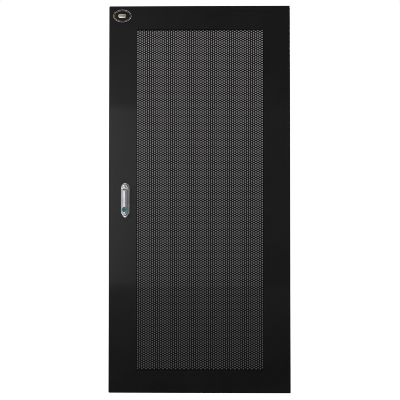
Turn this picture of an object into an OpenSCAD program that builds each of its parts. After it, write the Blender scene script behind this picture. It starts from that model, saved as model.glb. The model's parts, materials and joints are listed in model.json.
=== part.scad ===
// Perforated door of a 19 inch rack cabinet, with swing handle lock and lift-off hinges.
// +Z is up, the door's front faces -Y, and the origin is on the hinge axis, on the
// bearing face of the lower hinge.

/* [Door leaf] */
// Width of the door
door_w = 600; // [500:10:800]
// Height of the door
door_h = 1280; // [1000:10:2000]
// Depth of the folded edges
door_d = 25; // [24:0.5:40]
// Thickness of the door's sheet steel
skin_t = 1.2; // [1:0.1:1.5]
// Outer radius of the folds round the front
bend_r = 2.4; // [2:0.1:4]
// Width of the lips folded inwards at the back
lip_w = 14; // [12:0.5:14]
// Radius of the front corners on the lock side
lock_corner_r = 5; // [3:0.5:8]
// Radius of the front corners on the hinge side
hinge_corner_r = 2.5; // [2:0.5:5]
// Width of the slit where two lips meet
lip_slit = 1; // [0.5:0.1:2]

/* [Perforated field] */
// Plain stile on the lock side, up to the perforated field
lock_stile = 92; // [90:1:120]
// Plain stile on the hinge side
hinge_stile = 87; // [80:1:120]
// Plain rail above the field
top_margin = 78; // [60:1:120]
// Plain rail below the field
bottom_margin = 72; // [60:1:120]
// Thickness of the perforated sheet
sheet_t = 1; // [0.8:0.1:1.5]
// Overlap of the perforated sheet behind the door's sheet
sheet_edge = 10; // [8:1:10]
// Diameter of a punched hole
hole_d = 5.4; // [4:0.1:5.8]
// Distance between neighbouring columns of holes
pitch_x = 7; // [7:0.1:9]
// Distance between the holes of one column
pitch_z = 7.63; // [7.4:0.01:10]
// How many times larger than real the punched pattern is drawn
coarse = 3; // [3:1:6]

/* [Stiffening channels] */
// Width of a channel
channel_w = 10; // [8:0.5:10]
// Sheet thickness of a channel
channel_t = 1.2; // [1:0.1:1.5]
// Length of a slot in the upright channels
slot_l = 16; // [10:1:24]
// Width of a slot
slot_w = 4.5; // [3:0.5:5]
// Distance between slots
slot_pitch = 40; // [30:1:60]

/* [Hinges] */
// Distance of the hinge axis from the door's edge and from its front
hinge_inset = 14; // [14:0.5:15]
// Height of the lower bearing face above the door's lower edge
hinge_rise = 40; // [30:1:60]
// Distance of the upper bearing face below the door's upper edge
hinge_drop = 36; // [30:1:60]
// Diameter of the hinge pins
pin_d = 8; // [6:0.5:9]
// Travel of the sprung pin
pin_travel = 12; // [9:0.5:14]
// Length of the sprung pin's finger pull
pull_l = 26; // [18:1:36]
// Height of a hinge bracket
bracket_h = 52; // [44:1:70]
// Plate thickness of a hinge bracket
bracket_t = 2.5; // [2:0.5:3]
// Thickness of the bearing washer
washer_t = 1.5; // [1:0.1:2.5]
// Wire of the hinge spring
spring_wire = 1.2; // [0.8:0.1:1.4]
// Turns of the hinge spring
spring_turns = 8; // [5:1:10]

/* [Lock] */
// Distance of the spindle from the door's lock side
lock_inset = 55; // [54:0.5:56]
// Distance of the spindle below the door's upper edge
lock_drop = 604; // [400:1:640]
// Width of the handle's base
base_w = 28; // [27.5:0.5:34]
// Thickness of the handle's base on its centre line
base_h = 5; // [5:0.5:7]
// Length of the handle below the spindle
base_reach = 98.4; // [98:0.1:115]
// Width of the lever
lever_w = 21; // [20:0.5:22]
// Height of the lever's crown above the door at the pivot
crown_h = 23.8; // [22.5:0.1:25]
// Diameter of the spindle's head
head_d = 23; // [22:0.5:24]
// Diameter of the spindle's bearing in the base
spindle_d = 19.9; // [18:0.1:20]
// Across flats of the spindle's square
square_w = 10; // [9:0.1:10.5]
// Height of the key cylinder above the lower end of the handle
key_rise = 26.1; // [25.5:0.1:32]
// Diameter of the key cylinder's barrel
barrel_d = 16; // [14:0.5:16]
// Diameter of the key plug
plug_d = 11; // [10:0.5:11.5]

/* [Rod drive] */
// Module of the pinion's and the racks' teeth
tooth_module = 2; // [1.8:0.05:2]
// Number of the pinion's teeth
pinion_teeth = 12; // [12:2:12]
// Width of a locking rod
rod_w = 10; // [9:0.5:12]
// Thickness of a locking rod
rod_t = 5; // [4:0.5:5]
// Distance of a rod's tip from the door's edge
rod_end_gap = 20; // [14:1:40]
// Play between moving faces of the rod drive
play = 0.3; // [0.2:0.05:0.4]

/* [Badge] */
// Width of the blank oval badge
badge_w = 60; // [40:1:66]
// Height of the badge
badge_h = 42; // [30:1:50]
// Thickness of the badge
badge_t = 1.6; // [1.2:0.1:3]
// Distance of the badge's centre from the door's lock side
badge_x = 44; // [40:1:60]
// Distance of the badge's centre below the door's upper edge
badge_z = 33.5; // [30:0.5:40]

/* [Hidden] */
$fn = 64;

BLACK = "#1d1e21";
STEEL = "#9a9da1";
CHROME = "#c9cbce";
NYLON = "#2c2d30";
TEAL = "#2b5a68";

// Radial clearance of a pin or shaft in its hole
fit = 0.05;
// Gap that keeps a turning part off the face that it passes
gap = 0.5;
// Overlap of a cutter past the face that it cuts
eps = 1;

// The door's edges
x_right = hinge_inset;
x_left = x_right - door_w;
z_bot = -hinge_rise;
z_top = z_bot + door_h;
front_y = -hinge_inset;
inner_x = x_right - skin_t;

// The perforated field
field_x0 = x_left + lock_stile;
field_x1 = x_right - hinge_stile;
field_z0 = z_bot + bottom_margin;
field_z1 = z_top - top_margin;
step_x = pitch_x * coarse;
step_z = pitch_z * coarse;
columns = floor((field_x1 - field_x0) / step_x);
rows = floor((field_z1 - field_z0) / step_z - 0.5);

// Depths behind the front face
sheet_back = skin_t + sheet_t;
lip_front = door_d - skin_t;
slots = floor((door_h - 2 * lip_w) / slot_pitch);

// Hinge levels
upper_face = z_top - hinge_drop;
pin_r = pin_d / 2;
ear_r = 9.5;
clip_t = 1.2;
clip_r = 7.5;
groove_r = pin_r - 0.7;
clip_top = upper_face - bracket_t - play;
clip_bottom = clip_top - clip_t;
seat_z = upper_face - bracket_h + bracket_t;
pull_z = upper_face - bracket_h - 2 * pin_d;
pin_tip_h = 1.5;
pin_reach = pin_travel + pin_tip_h + gap;
neck_r = pin_r - 0.2;
shoulder_r = pin_r + 1;
spring_r = pin_r + 1 + spring_wire / 2;
lug_notch = 30;
rivet_r = 6.5;
rivet_h = 3;

// Rack and pinion: the racks touch the pinion's pitch circle
pressure_angle = 20;
pinion_r = tooth_module * pinion_teeth / 2;
tooth_pitch = PI * tooth_module;
pinion_add = 0.9 * tooth_module;
rack_add = 0.65 * tooth_module;
dedendum = 1.15 * tooth_module;
backlash = 0.3;
rod_travel = pinion_r * PI / 2;
rack_back = pinion_r + dedendum;
rod_out = pinion_r + rod_w;
rod_tail = -9;
rack_end = rod_travel + 9.5;
rod_taper = 3;

// Lock: places on the door and depths behind its front face
plate_t = 2.5;
case_back_t = 3.5;
washer_steel_t = 1.6;
spindle_washer_r = 9;
spindle_screw_l = 11;
lock_x = x_left + lock_inset;
lock_z = z_top - lock_drop;
plate_front = skin_t;
plate_back = plate_front + plate_t;
rod_front = plate_back + gap;
rod_back = rod_front + rod_t;
cavity_back = rod_back + gap;
case_back = cavity_back + case_back_t;
case_half_w = 25;
case_half_h = 34;
case_wall = 2.4;
case_ear_t = 3;
upper_ear_z = case_half_h + 7;
ear_tab_r = 7;
boss_wall = 2.55;
boss_r = spindle_d / 2 + boss_wall;
spindle_end_d = 9.9;
post_r = 4;
screw_r = 2.5;
pivot = [-1, 14];
knuckle_r = 7.2;
tongue_w = 8;
ear_gap = 0.4;
head_top = crown_h + 1.2;
head_dome_h = 6;
head_bottom = base_h + play;
lever_bottom = base_h + gap;
lever_pin_r = 2;
lever_start = -8.5;
lever_chamfer = 17.4 - base_reach;
lever_end = 4.4 - base_reach;
lever_crown_r = 14;
lever_fall = 3;
lever_tip_h = 18;
lever_nose = 2.5;
lever_wall = 3;
lever_hollow_h = 9;
key_rib = 4;
head_rib = 18;
base_crown_r = 40;
base_chamfer = 14.7;
base_tip_w = 6;
key_drop = base_reach - key_rise;
barrel_r = barrel_d / 2;
key_hole_r = barrel_r + 0.2;
flange_r = barrel_r + 1.3;
flange_t = 1.6;
barrel_back = rod_back + gap;
barrel_nut_af = 20;
// Midway between the gear case and the nut of the key cylinder
lower_ear_z = -(case_half_h + key_drop - barrel_nut_af / 2) / 2;
nut_t = 2.8;
cam_front = barrel_back + play;
cam_t = 2.5;
cam_hub_r = 7;
cam_tip_r = pinion_r + 2.5;
cam_w = 8;
cam_screw_r = 1.5;
cam_screw_l = 5;
plug_r = plug_d / 2;
plug_sink = 0.2;
keyway = [1.4, 7.6, 7];
tail_w = 6;
stop_w = 8;
stop_h = 6;

// Rods and their guides: places along each rod, measured from the spindle
upper_rod_tip = z_top - rod_end_gap - lock_z;
lower_rod_tip = lock_z - z_bot - rod_end_gap;
guide_h = 16;
guide_wall = 2.2;
guide_ear_t = 4;
guide_stud_x = 4;
guide_ear_r = 6;
mid_guide_at = 150;
end_guide_back = 26;
upper_end_at = upper_rod_tip - end_guide_back;
lower_end_at = lower_rod_tip - end_guide_back;
guides = [[-1, upper_end_at], [-1, mid_guide_at], [1, -mid_guide_at], [1, -lower_end_at]];
stud_r = 2;
stud_nut_af = 7;
stud_nut_t = 3.2;
stud_end = 1.2;

// Earth stud
earth_x = -35;
earth_rise = 34;
earth_z = z_bot + earth_rise;
earth_r = 3;
earth_l = 17;
earth_neck_r = 2.8;
earth_nut_af = 10;
earth_nut_t = 5;
earth_nut_back = skin_t + washer_steel_t + earth_nut_t;

// Trim
badge_rim = 2.5;
badge_recess = 0.6;
buffer_r = 5.5;
buffer_t = 3;
buffer_inset = 140;

// ---- Helpers ------------------------------------------------------------------------

// Stands a drawing of the door's face, in x and z, between two depths behind the front
module layer(from, to)
    translate([0, front_y + to, 0]) rotate([90, 0, 0]) linear_extrude(to - from) children();

// Moves a drawing of the face to the spindle
module on_lock() translate([lock_x, lock_z]) children();

// Frame at the spindle: x along the door, y up, z outwards from the front face
module at_lock() translate([lock_x, front_y, lock_z]) rotate([90, 0, 0]) children();

module rect(x0, y0, x1, y1) translate([x0, y0]) square([x1 - x0, y1 - y0]);

// Rectangle with its left corners rounded by rl and its right corners by rr
module rounded(x0, y0, x1, y1, rl, rr) {
    rect(x0 + rl, y0, x1 - rr, y1);
    rect(x0, y0 + rl, x0 + rl, y1 - rl);
    rect(x1 - rr, y0 + rr, x1, y1 - rr);
    for (y = [y0 + rl, y1 - rl]) translate([x0 + rl, y]) circle(rl);
    for (y = [y0 + rr, y1 - rr]) translate([x1 - rr, y]) circle(rr);
}

module upright_slot(l, w) {
    square([w, l - w], center = true);
    for (s = [-1, 1]) translate([0, s * (l - w) / 2]) circle(w / 2);
}

module hexagon(across_flats) circle(across_flats / sqrt(3), $fn = 6);

// ---- Door leaf ----------------------------------------------------------------------

// Box of the folded door, smaller all round by inset, with its front edges bent round
module folded_box(inset, depth) {
    r = bend_r - inset;
    x0 = x_left + inset;
    x1 = x_right - inset;
    z0 = z_bot + inset;
    z1 = z_top - inset;
    y0 = front_y + inset;
    y1 = front_y + depth;
    intersection() {
        layer(inset, depth)
            rounded(x0, z0, x1, z1, lock_corner_r - inset, max(hinge_corner_r - inset, 0.5));
        translate([0, 0, z0]) linear_extrude(z1 - z0) {
            rect(x0, y0 + r, x1, y1);
            rect(x0 + r, y0, x1 - r, y0 + r);
            for (x = [x0 + r, x1 - r]) translate([x, y0 + r]) circle(r);
        }
        translate([x0, 0, 0]) rotate([90, 0, 90]) linear_extrude(x1 - x0) {
            rect(y0 + r, z0, y1, z1);
            rect(y0, z0 + r, y0 + r, z1 - r);
            for (z = [z0 + r, z1 - r]) translate([y0 + r, z]) circle(r);
        }
    }
}

// Diagonal slits where the lips meet in the four corners
module lip_slits()
    for (x = [x_left, x_right], z = [z_bot, z_top])
        translate([x, z]) rotate(x == x_left == (z == z_bot) ? 45 : -45)
            translate([-2 * lip_w, -lip_slit / 2]) square([4 * lip_w, lip_slit]);

module door_skin() color(BLACK) difference() {
    folded_box(0, door_d);
    folded_box(skin_t, lip_front);
    // Open back inside the lips
    layer(lip_front - eps, door_d + eps)
        rect(x_left + lip_w, z_bot + lip_w, x_right - lip_w, z_top - lip_w);
    layer(lip_front - play, door_d + eps) intersection() {
        lip_slits();
        rect(x_left + 2 * skin_t, z_bot + 2 * skin_t, x_right - 2 * skin_t, z_top - 2 * skin_t);
    }
    // Room for the cabinet's hinge lugs
    layer(lip_front - eps, door_d + eps) {
        rect(x_right - lip_w - eps, -lug_notch, inner_x, 0);
        rect(x_right - lip_w - eps, upper_face, inner_x, z_top - lip_w + eps);
    }
    // Window of the perforated field
    layer(-eps, skin_t + eps) rect(field_x0, field_z0, field_x1, field_z1);
    // Openings behind the handle's base
    layer(-eps, skin_t + eps) on_lock() {
        circle(boss_r + 2 * fit);
        translate([0, -key_drop]) circle(barrel_r + 2 * fit);
        translate([0, lower_ear_z]) circle(post_r + 2 * fit);
    }
}

module perforated_sheet() color(BLACK) layer(skin_t, sheet_back) difference() {
    rect(field_x0 - sheet_edge, field_z0 - sheet_edge,
        field_x1 + sheet_edge, field_z1 + sheet_edge);
    for (i = [0:columns - 1]) for (j = [0:rows - 1])
        translate([
            (field_x0 + field_x1) / 2 + (i - (columns - 1) / 2) * step_x,
            (field_z0 + field_z1) / 2 + (j - (rows - 1) / 2 + (i % 2) / 2 - 0.25) * step_z
        ]) circle(d = hole_d * coarse, $fn = 24);
}

// Channel along z with its web on x = 0 and its legs towards +x
module channel(z0, z1) {
    depth = lip_front - sheet_back;
    translate([0, front_y + sheet_back, z0]) difference() {
        cube([channel_w, depth, z1 - z0]);
        translate([channel_t, channel_t, -eps])
            cube([channel_w, depth - 2 * channel_t, z1 - z0 + 2 * eps]);
    }
}

// Channel with slots in its back leg
module slotted_channel() difference() {
    channel(z_bot + skin_t, z_top - skin_t);
    for (i = [0:slots - 1])
        translate([(channel_w + channel_t) / 2, front_y + door_d,
            (z_bot + z_top) / 2 + (i - (slots - 1) / 2) * slot_pitch])
            rotate([90, 0, 0]) linear_extrude(skin_t + 2 * channel_t) upright_slot(slot_l, slot_w);
}

module lock_side_channel() color(BLACK)
    translate([field_x0, 0, 0]) mirror([1, 0, 0]) slotted_channel();

module hinge_side_channel() color(BLACK) translate([field_x1, 0, 0]) slotted_channel();

module top_rail() color(BLACK)
    translate([0, 0, field_z1]) rotate([0, -90, 0]) channel(-field_x1, -field_x0);

module bottom_rail() color(BLACK)
    translate([0, 0, field_z0]) rotate([0, 90, 0]) channel(field_x0, field_x1);

// ---- Hinges -------------------------------------------------------------------------

// Folded bracket with an ear at each end, welded inside the door's folded edge
module hinge_bracket(z0, hole_r) translate([0, 0, z0]) difference() {
    union() {
        translate([inner_x - bracket_t, -ear_r, 0]) cube([bracket_t, 2 * ear_r, bracket_h]);
        for (z = [0, bracket_h - bracket_t]) translate([0, 0, z]) {
            cylinder(r = ear_r, h = bracket_t);
            translate([0, -ear_r, 0]) cube([inner_x, 2 * ear_r, bracket_t]);
        }
    }
    translate([0, 0, -eps]) cylinder(r = hole_r + fit, h = bracket_h + 2 * eps);
}

module upper_hinge_bracket() color(BLACK) hinge_bracket(upper_face - bracket_h, pin_r);
module lower_hinge_bracket() color(BLACK) hinge_bracket(washer_t, shoulder_r);

// Sprung pin, bent over at its lower end as a finger pull. A slimmer neck above the clip's
// groove leaves the full diameter to the part that enters the cabinet's lug.
module upper_hinge_pin() color(STEEL) {
    tip_z = upper_face + pin_reach;
    neck_top = upper_face + gap;
    difference() {
        union() {
            translate([0, 0, pull_z + pin_d]) cylinder(r = pin_r, h = clip_top - pull_z - pin_d);
            translate([0, 0, clip_top]) cylinder(r = neck_r, h = neck_top - clip_top);
            translate([0, 0, neck_top]) cylinder(r = pin_r, h = tip_z - pin_tip_h - neck_top);
            translate([0, 0, tip_z - pin_tip_h])
                cylinder(r1 = pin_r, r2 = pin_r - pin_tip_h / 2, h = pin_tip_h);
        }
        translate([0, 0, clip_bottom - fit]) difference() {
            cylinder(r = pin_r + eps, h = clip_t + 2 * fit);
            translate([0, 0, -eps]) cylinder(r = groove_r, h = clip_t + 2 * eps);
        }
    }
    translate([-pin_d, 0, pull_z + pin_d]) rotate([90, 0, 0])
        rotate_extrude(angle = -90) translate([pin_d, 0]) circle(pin_r);
    translate([-pin_d, 0, pull_z]) rotate([0, -90, 0]) cylinder(r = pin_r, h = pull_l - pin_d);
}

module hinge_pin_clip() color(STEEL) translate([0, 0, clip_bottom]) difference() {
    cylinder(r = clip_r, h = clip_t);
    translate([0, 0, -eps]) cylinder(r = groove_r + fit, h = clip_t + 2 * eps);
}

// Points of a wire bent into a helix round z, with a ring of sides at each step
function helix_ring(a, z, sides) = [for (k = [0:sides - 1])
    let (b = 360 * k / sides, r = spring_r + spring_wire / 2 * cos(b))
        [r * cos(a), r * sin(a), z + spring_wire / 2 * sin(b)]];

module hinge_spring() color(STEEL) {
    sides = 6;
    turn = 360;
    steps = 12 * spring_turns;
    z0 = seat_z + spring_wire / 2 + fit;
    z1 = clip_bottom - spring_wire / 2 - fit;
    points = [for (i = [0:steps])
        each helix_ring(turn * spring_turns * i / steps, z0 + (z1 - z0) * i / steps, sides)];
    walls = [for (i = [0:steps - 1], k = [0:sides - 1])
        [i * sides + k, (i + 1) * sides + k, (i + 1) * sides + (k + 1) % sides,
            i * sides + (k + 1) % sides]];
    polyhedron(points, concat(walls, [[for (k = [0:sides - 1]) k]],
        [[for (k = [sides - 1:-1:0]) steps * sides + k]]));
}

// Fixed pin, with a thicker shoulder that is riveted into the lower ear
module lower_hinge_pin() color(STEEL) {
    translate([0, 0, washer_t + bracket_t]) cylinder(r = rivet_r, h = rivet_h);
    cylinder(r = shoulder_r, h = washer_t + bracket_t);
    translate([0, 0, pin_tip_h - pin_reach]) cylinder(r = pin_r, h = pin_reach - pin_tip_h);
    translate([0, 0, -pin_reach]) cylinder(r1 = pin_r - pin_tip_h / 2, r2 = pin_r, h = pin_tip_h);
}

module hinge_washer() color("#d8d6cc") difference() {
    cylinder(r = ear_r - gap, h = washer_t);
    translate([0, 0, -eps]) cylinder(r = shoulder_r + fit, h = washer_t + 2 * eps);
}

// ---- Swing handle -------------------------------------------------------------------

// Outline with a round head at the spindle and a blunt point at the lower end
module handle_outline(width, chamfer_y, end_y, tip_w) {
    circle(d = width);
    polygon([
        [-width / 2, 0], [-width / 2, chamfer_y], [-tip_w / 2, end_y],
        [tip_w / 2, end_y], [width / 2, chamfer_y], [width / 2, 0]
    ]);
}

// Die-cast base: crowned plate with a bearing boss and a screw post behind it
module handle_base() color(CHROME) at_lock() difference() {
    union() {
        intersection() {
            linear_extrude(base_h)
                handle_outline(base_w, base_chamfer - base_reach, -base_reach, base_tip_w);
            translate([0, base_w, base_h - base_crown_r]) rotate([90, 0, 0])
                cylinder(r = base_crown_r, h = base_reach + 2 * base_w, $fn = 128);
        }
        translate([0, 0, -plate_back]) cylinder(r = boss_r, h = plate_back + eps);
        translate([0, lower_ear_z, -plate_back]) cylinder(r = post_r, h = plate_back + eps);
    }
    translate([0, 0, -plate_back - eps])
        cylinder(r = spindle_d / 2 + fit, h = plate_back + base_h + 2 * eps);
    translate([0, -key_drop, -eps]) cylinder(r = barrel_r + fit, h = base_h + 2 * eps);
    translate([0, -key_drop, base_h - flange_t]) cylinder(r = flange_r + fit, h = flange_t + eps);
    translate([0, lower_ear_z, -plate_back - eps]) cylinder(r = screw_r + fit, h = plate_back + 3);
}

// Cylinder along x through the lever's pivot
module on_pivot(r, x0, x1)
    translate([x0, pivot[0], pivot[1]]) rotate([0, 90, 0]) cylinder(r = r, h = x1 - x0);

// Domed head, open below for the lever's two ears, with a tongue for the pivot pin
module spindle_head() {
    dome_r = (pow(head_d / 2, 2) + pow(head_dome_h, 2)) / (2 * head_dome_h);
    head_r = head_d / 2;
    difference() {
        intersection() {
            translate([0, 0, head_bottom]) cylinder(r = head_r, h = head_top - head_bottom);
            translate([0, 0, head_top - dome_r]) sphere(r = dome_r);
        }
        on_pivot(knuckle_r + gap, -head_d, head_d);
        translate([-head_d, pivot[0] - head_d, head_bottom - eps])
            cube([2 * head_d, head_d, head_top]);
    }
    on_pivot(knuckle_r - ear_gap, -tongue_w / 2, tongue_w / 2);
    translate([-tongue_w / 2, pivot[0], head_bottom - eps])
        cube([tongue_w, knuckle_r + 2, pivot[1] + knuckle_r / 2 - head_bottom]);
}

module spindle() color(CHROME) at_lock() difference() {
    union() {
        spindle_head();
        translate([0, 0, -plate_back]) cylinder(d = spindle_d, h = plate_back + head_bottom);
        translate([-square_w / 2, -square_w / 2, -cavity_back])
            cube([square_w, square_w, cavity_back - plate_back + eps]);
        translate([0, 0, -case_back - 2 * fit])
            cylinder(d = spindle_end_d, h = case_back - cavity_back + 2 * fit + eps);
    }
    on_pivot(lever_pin_r + fit, -head_d, head_d);
    translate([0, 0, -case_back - eps]) cylinder(r = screw_r + fit, h = spindle_screw_l + eps);
}

module swing_lever() color(CHROME) at_lock() difference() {
    union() {
        intersection() {
            translate([0, 0, lever_bottom]) linear_extrude(head_top)
                handle_outline(lever_w, lever_chamfer, lever_end, base_tip_w - 1);
            // Side view: swept up from the knuckle, falling a little to a rounded-off tip
            rotate([90, 0, 90]) translate([0, 0, -lever_w]) linear_extrude(2 * lever_w)
                polygon([
                    pivot, [pivot[0] - 4.6, pivot[1] + 5.5], [lever_start, pivot[1] + 8],
                    [lever_start - 5.5, crown_h - 0.3], [lever_chamfer, crown_h - lever_fall - 1],
                    [lever_end + lever_nose, lever_tip_h], [lever_end, lever_tip_h - lever_nose],
                    [lever_end, lever_bottom], [-5, lever_bottom],
                    [pivot[0], pivot[1] - knuckle_r]
                ]);
            // Crown along the lever
            translate([0, 0, crown_h]) rotate([lever_fall, 0, 0]) rotate([90, 0, 0])
                translate([0, 0, -lever_w]) linear_extrude(base_reach + 2 * lever_w) {
                    translate([0, -lever_crown_r]) circle(lever_crown_r, $fn = 96);
                    rect(-lever_w / 2, -2 * crown_h, lever_w / 2, -lever_crown_r);
                }
        }
        on_pivot(knuckle_r, -lever_w / 2, -tongue_w / 2 - ear_gap);
        on_pivot(knuckle_r, tongue_w / 2 + ear_gap, lever_w / 2);
    }
    on_pivot(knuckle_r + ear_gap, -tongue_w / 2 - ear_gap, tongue_w / 2 + ear_gap);
    on_pivot(lever_pin_r + fit, -lever_w, lever_w);
    translate([0, -key_drop, 0]) cylinder(r = key_hole_r, h = 2 * crown_h);
    // Hollow underside
    translate([lever_wall - lever_w / 2, key_hole_r + key_rib - key_drop, lever_bottom - eps])
        cube([lever_w - 2 * lever_wall, key_drop - key_hole_r - head_rib, lever_hollow_h]);
}

module lever_pin() color(STEEL) at_lock()
    on_pivot(lever_pin_r, play - lever_w / 2, lever_w / 2 - play);

// ---- Rod drive ----------------------------------------------------------------------

function involute(a) = tan(a) - a * PI / 180;

// Half the angle of a pinion tooth at radius r, in degrees
function half_tooth(r, base_r) = 90 / pinion_teeth + (involute(pressure_angle)
    - involute(acos(min(1, base_r / r)))) * 180 / PI;

module pinion_outline() {
    base_r = pinion_r * cos(pressure_angle);
    flank = [for (i = [0:3]) base_r + (pinion_r + pinion_add - base_r) * i / 3];
    root = pinion_r - dedendum;
    circle(root);
    for (k = [0:pinion_teeth - 1]) rotate(360 * k / pinion_teeth) polygon(concat(
        [[0, -root * sin(half_tooth(base_r, base_r))]],
        [for (r = flank) [r * cos(half_tooth(r, base_r)), -r * sin(half_tooth(r, base_r))]],
        [for (i = [3:-1:0]) let (r = flank[i], h = half_tooth(r, base_r)) [r * cos(h), r * sin(h)]],
        [[0, root * sin(half_tooth(base_r, base_r))]]
    ));
}

module pinion() color(STEEL) layer(rod_front, rod_back) on_lock() difference() {
    pinion_outline();
    square(square_w + 2 * fit, center = true);
}

// Rod to the left of the pinion: rack beside the pinion, plain bar up to a tapered tip
module rod_outline(tip) {
    half = tooth_pitch / 4 - backlash / 2;
    slope = tan(pressure_angle);
    polygon([
        [-rod_out, rod_tail], [-rack_back, rod_tail], [-rack_back, rack_end], [-pinion_r, rack_end],
        [-pinion_r, tip - 2 * rod_taper], [-pinion_r - rod_taper, tip],
        [-rod_out + rod_taper, tip], [-rod_out, tip - 2 * rod_taper]
    ]);
    for (k = [0:floor((rack_end - rod_tail) / tooth_pitch) - 1])
        translate([-pinion_r, (k - 0.5) * tooth_pitch]) polygon([
            [-dedendum - eps, -half - dedendum * slope], [-dedendum, -half - dedendum * slope],
            [rack_add, -half + rack_add * slope], [rack_add, half - rack_add * slope],
            [-dedendum, half + dedendum * slope], [-dedendum - eps, half + dedendum * slope]
        ]);
}

module upper_rod() color(STEEL) layer(rod_front, rod_back) on_lock() rod_outline(upper_rod_tip);

module lower_rod() color(STEEL) layer(rod_front, rod_back) on_lock()
    rotate(180) rod_outline(lower_rod_tip);

// Lug on the back of the lower rod, which the lock's cam holds down
module rod_stop() color(STEEL) layer(rod_back, cam_front + cam_t) on_lock()
    translate([pinion_r, -key_drop - cam_w / 2 - play - stop_h]) square([stop_w, stop_h]);

module case_outline() {
    rounded(-case_half_w, -case_half_h, case_half_w, case_half_h, 4, 4);
    for (z = [upper_ear_z, lower_ear_z]) translate([0, z]) circle(ear_tab_r);
    rect(-ear_tab_r, lower_ear_z, ear_tab_r, upper_ear_z);
}

module case_plate() color(STEEL) layer(plate_front, plate_back) on_lock() difference() {
    case_outline();
    circle(boss_r + 2 * fit);
    translate([0, upper_ear_z]) circle(stud_r + 2 * fit);
    translate([0, lower_ear_z]) circle(post_r + 2 * fit);
}

// Shell over the racks and the pinion, with an exit for each rod
module gear_case() color(NYLON) difference() {
    union() {
        layer(plate_back, plate_back + case_ear_t) on_lock() case_outline();
        layer(plate_back, case_back) on_lock()
            rounded(-case_half_w, -case_half_h, case_half_w, case_half_h, 4, 4);
    }
    layer(plate_back - eps, cavity_back) on_lock() {
        inner_w = case_half_w - case_wall;
        inner_h = case_half_h - case_wall;
        rect(-inner_w, -inner_h, inner_w, inner_h);
        rect(-rod_out - play, 0, -pinion_r + play, case_half_h + eps);
        rect(pinion_r - play, -case_half_h - eps, rod_out + play, 0);
    }
    layer(plate_back - eps, case_back + eps) on_lock() {
        circle(spindle_end_d / 2 + fit);
        translate([0, upper_ear_z]) circle(stud_r + 2 * fit);
        translate([0, lower_ear_z]) circle(screw_r + 2 * fit);
    }
}

module spindle_washer() color(STEEL)
    layer(case_back + 2 * fit, case_back + washer_steel_t) on_lock() difference() {
        circle(spindle_washer_r);
        circle(screw_r + fit);
    }

// Pan head screw along the depth, head behind the depth given
module screw(x, z, seat, length, r) {
    layer(seat, seat + 1.2 * r) translate([x, z]) circle(1.8 * r);
    layer(seat - length, seat) translate([x, z]) circle(r);
}

module spindle_screw() color(STEEL)
    screw(lock_x, lock_z, case_back + washer_steel_t, spindle_screw_l, screw_r);

module base_screw() color(STEEL)
    screw(lock_x, lock_z + lower_ear_z, plate_back + case_ear_t, case_ear_t + plate_back, screw_r);

// ---- Key cylinder -------------------------------------------------------------------

module key_cylinder() color(TEAL) at_lock() translate([0, -key_drop, 0]) difference() {
    union() {
        translate([0, 0, -barrel_back]) cylinder(r = barrel_r, h = barrel_back + base_h);
        translate([0, 0, base_h - flange_t]) cylinder(r = flange_r, h = flange_t);
    }
    translate([0, 0, -barrel_back - eps])
        cylinder(r = plug_r + fit, h = barrel_back + base_h + 2 * eps);
}

module cylinder_nut() color(STEEL) layer(skin_t, skin_t + nut_t) on_lock()
    translate([0, -key_drop]) difference() {
        rotate(30) hexagon(barrel_nut_af);
        circle(barrel_r + fit);
    }

module key_plug() color(TEAL) at_lock() translate([0, -key_drop, 0]) difference() {
    union() {
        translate([0, 0, -barrel_back])
            cylinder(r = plug_r, h = barrel_back + base_h - plug_sink);
        translate([-tail_w / 2, -tail_w / 2, -cam_front - cam_t])
            cube([tail_w, tail_w, cam_front + cam_t - barrel_back + eps]);
    }
    translate([-keyway[0] / 2, -keyway[1] / 2, base_h - keyway[2]]) cube(keyway);
    translate([0, 0, -cam_front - cam_t - eps])
        cylinder(r = cam_screw_r + fit, h = cam_screw_l + 2 * eps);
}

module lock_cam() color(STEEL) layer(cam_front, cam_front + cam_t) on_lock()
    translate([0, -key_drop]) difference() {
        union() {
            circle(cam_hub_r);
            intersection() {
                circle(cam_tip_r);
                rect(-cam_w / 2, 0, cam_w / 2, cam_tip_r);
            }
        }
        square(tail_w + 2 * fit, center = true);
    }

module cam_screw() color(STEEL)
    screw(lock_x, lock_z - key_drop, cam_front + cam_t, cam_screw_l, cam_screw_r);

// ---- Rod guides and fasteners -------------------------------------------------------

// Nylon guide round a rod; side is -1 for the upper rod and 1 for the lower one
module rod_guide(side, z) color(NYLON) translate([lock_x, 0, lock_z + z])
    mirror([side > 0 ? 1 : 0, 0, 0]) difference() {
        union() {
            translate([-rod_out - play - guide_wall, front_y + skin_t, -guide_h / 2])
                cube([rod_w + 2 * (play + guide_wall), rod_back + play + guide_wall - skin_t, guide_h]);
            layer(skin_t, skin_t + guide_ear_t) {
                translate([-guide_stud_x, 0]) circle(guide_ear_r);
                rect(-pinion_r, -guide_ear_r, -guide_stud_x, guide_ear_r);
            }
        }
        translate([-rod_out - play, front_y + rod_front - play, -guide_h])
            cube([rod_w + 2 * play, rod_t + 2 * play, 2 * guide_h]);
        layer(0, skin_t + guide_ear_t + eps) translate([-guide_stud_x, 0]) circle(stud_r + 2 * fit);
    }

module upper_end_guide() rod_guide(guides[0][0], guides[0][1]);
module upper_mid_guide() rod_guide(guides[1][0], guides[1][1]);
module lower_mid_guide() rod_guide(guides[2][0], guides[2][1]);
module lower_end_guide() rod_guide(guides[3][0], guides[3][1]);

// Welded studs with the depth of the face that each nut clamps
stud_places = concat([for (g = guides) [g[0] * guide_stud_x, g[1], skin_t + guide_ear_t]],
    [[0, upper_ear_z, plate_back + case_ear_t]]);

module weld_studs() color(STEEL) for (p = stud_places)
    layer(skin_t, p[2] + stud_nut_t + stud_end) on_lock() translate([p[0], p[1]]) circle(stud_r);

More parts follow.
